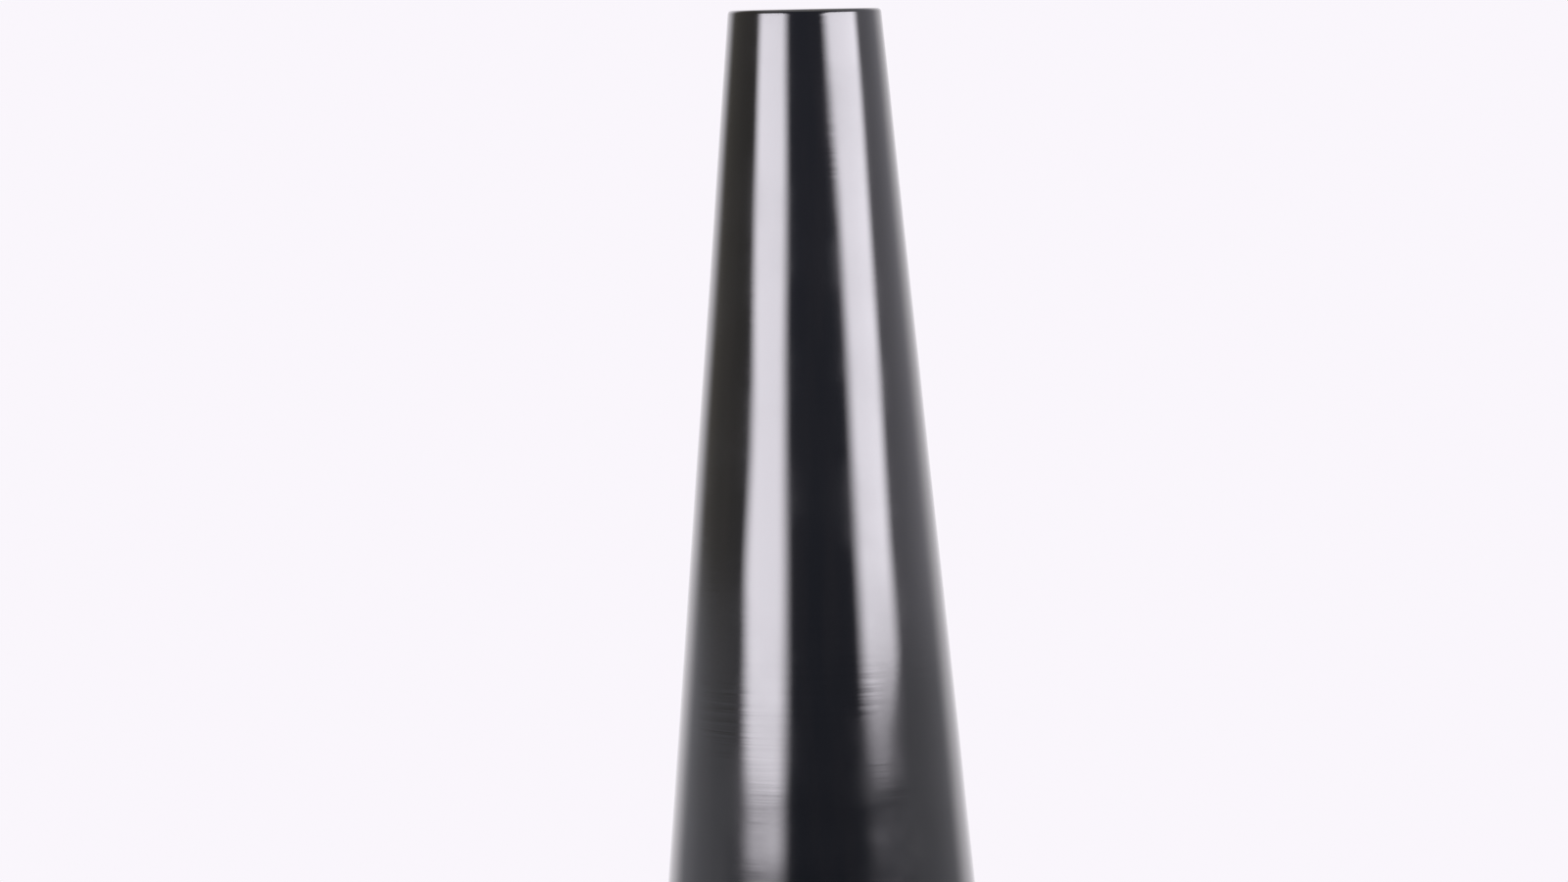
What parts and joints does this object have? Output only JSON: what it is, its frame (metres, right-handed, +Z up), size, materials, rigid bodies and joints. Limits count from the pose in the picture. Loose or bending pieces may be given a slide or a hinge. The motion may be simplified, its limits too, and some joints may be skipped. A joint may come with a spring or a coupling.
{
  "type": "trumpet vase",
  "caption": "Tall slender vase, a long straight cone with a narrow mouth and a flared foot, gloss black, with a lift-out metal liner that holds the water and stems.",
  "frame": {"origin": "on the floor under the middle of the foot, in the plane of the felt pads' undersides", "axes": "+Z up along the vase's axis, towards the mouth; +X and +Y level"},
  "size_m": [0.2512, 0.2512, 0.7],
  "materials": {
    "black_lacquer": "hand-rubbed high-gloss black lacquer over turned wood",
    "stained_board": "dark stained board, matt",
    "bare_wood": "bare turned wood",
    "zinc_sheet": "dull zinc-coated sheet steel",
    "screw_steel": "zinc-plated",
    "felt": "pressed felt"
  },
  "bodies": {
    "vase": {"neck_section": "black_lacquer", "upper_section": "black_lacquer", "middle_section": "black_lacquer", "bell_section": "black_lacquer", "foot_ring": "black_lacquer", "base_board": "stained_board", "base_screws": "screw_steel", "felt_pad_1": "felt", "felt_pad_2": "felt", "felt_pad_3": "felt", "felt_pad_4": "felt", "liner_guide": "bare_wood"},
    "liner": {"liner_tube": "zinc_sheet", "liner_base": "zinc_sheet"}
  },
  "joints": [
    {"name": "liner_lift", "type": "slide", "parent": "vase", "child": "liner", "axis": [0, 0, 1], "range_m": [0, 0.44]}
  ]
}
